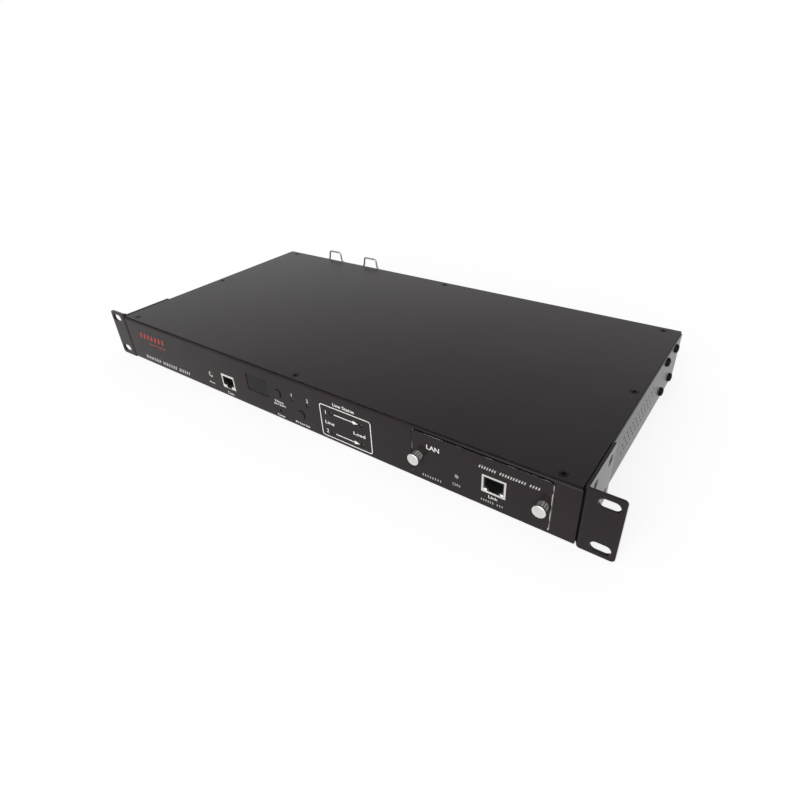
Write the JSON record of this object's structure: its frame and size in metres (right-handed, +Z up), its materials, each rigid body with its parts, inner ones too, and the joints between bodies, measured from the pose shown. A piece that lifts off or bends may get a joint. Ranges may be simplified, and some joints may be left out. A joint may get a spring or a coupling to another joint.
{
  "type": "rack transfer switch",
  "caption": "One-unit rack transfer switch: folded steel chassis with rack ears, front controls and lamps, plug-in network card with thumbscrews, rear mains inlets with bails and outlets.",
  "frame": {"origin": "centre of the chassis's flat underside", "axes": "+X to the right seen from the front, +Y to the rear, +Z up"},
  "size_m": [0.4826, 0.2365, 0.0503],
  "materials": {
    "black_paint": "semi-gloss black powder coat",
    "black_screw": "black oxide",
    "plated_steel": "zinc plated",
    "bright_steel": "nickel plated, knurled",
    "smoked_window": "smoked acrylic",
    "black_plastic": "moulded",
    "ivory_plastic": "moulded",
    "grey_plastic": "moulded",
    "lamp_plastic": "tinted clear",
    "circuit_board": "solder mask",
    "contact_metal": "gold flashed",
    "copper": "bare",
    "lead_cover": "insulated",
    "relay_case": "sealed",
    "iron_core": "laminated",
    "can": "sleeved"
  },
  "bodies": {
    "chassis": {"chassis_tray": "black_paint", "top_cover": "black_paint", "lid_screws": "black_screw", "left_ear": "black_paint", "right_ear": "black_paint", "ear_screws": "black_screw", "side_screws": "black_screw", "left_card_guide": "plated_steel", "right_card_guide": "plated_steel", "display_window": "smoked_window", "display_module": "black_plastic", "display_board": "circuit_board", "display_standoffs": "plated_steel", "tact_switches": "black_plastic", "status_leds": "lamp_plastic", "serial_jack": "ivory_plastic", "serial_jack_contacts": "contact_metal", "sensor_jack": "ivory_plastic", "card_socket": "black_plastic", "main_board": "circuit_board", "board_standoffs": "plated_steel", "board_screws": "plated_steel", "transfer_relays": "relay_case", "supply_transformer_a": "iron_core", "supply_transformer_b": "iron_core", "filter_capacitors": "can", "inlet_a": "black_plastic", "inlet_b": "black_plastic", "inlet_blades": "contact_metal", "outlet_tabs": "contact_metal", "bus_bars": "copper", "power_leads": "lead_cover", "outlet_1": "black_plastic", "outlet_2": "black_plastic", "outlet_3": "black_plastic", "outlet_4": "black_plastic", "outlet_5": "black_plastic", "outlet_6": "black_plastic", "outlet_7": "black_plastic", "outlet_8": "black_plastic"},
    "card": {"card_plate": "black_paint", "card_board": "circuit_board", "card_brackets": "plated_steel", "card_jack": "plated_steel", "card_jack_contacts": "contact_metal", "card_led": "lamp_plastic", "card_chips": "black_plastic"},
    "left_thumbscrew": {"left_thumbscrew": "bright_steel"},
    "right_thumbscrew": {"right_thumbscrew": "bright_steel"},
    "select_button": {"select_button": "grey_plastic"},
    "preference_button": {"preference_button": "grey_plastic"},
    "reset_plunger": {"reset_plunger": "black_plastic"},
    "inlet_a_bail": {"inlet_a_bail": "plated_steel"},
    "inlet_b_bail": {"inlet_b_bail": "plated_steel"}
  },
  "joints": [
    {"name": "card_slide", "type": "slide", "parent": "chassis", "child": "card", "axis": [0, -1, 0], "range_m": [0, 0.11]},
    {"name": "left_thumbscrew_turn", "type": "hinge", "parent": "card", "child": "left_thumbscrew", "pos_m": [0.11265, -0.11, 0.02035], "axis": [0, -1, 0], "continuous": true},
    {"name": "right_thumbscrew_turn", "type": "hinge", "parent": "card", "child": "right_thumbscrew", "pos_m": [0.19815, -0.11, 0.02035], "axis": [0, -1, 0], "continuous": true},
    {"name": "select_button_press", "type": "slide", "parent": "chassis", "child": "select_button", "axis": [0, 1, 0], "range_m": [0, 0.001], "stiffness_N_per_m": 400, "springref_m": -0.001},
    {"name": "preference_button_press", "type": "slide", "parent": "chassis", "child": "preference_button", "axis": [0, 1, 0], "range_m": [0, 0.001], "stiffness_N_per_m": 400, "springref_m": -0.001},
    {"name": "reset_plunger_press", "type": "slide", "parent": "chassis", "child": "reset_plunger", "axis": [0, 1, 0], "range_m": [0, 0.0005], "stiffness_N_per_m": 400, "springref_m": -0.001},
    {"name": "inlet_a_bail_swing", "type": "hinge", "parent": "chassis", "child": "inlet_a_bail", "pos_m": [-0.1545, 0.1164, 0.0214], "axis": [-1, 0, 0], "range_deg": [-8, 130]},
    {"name": "inlet_b_bail_swing", "type": "hinge", "parent": "chassis", "child": "inlet_b_bail", "pos_m": [-0.1035, 0.1164, 0.0214], "axis": [-1, 0, 0], "range_deg": [-8, 130]}
  ]
}
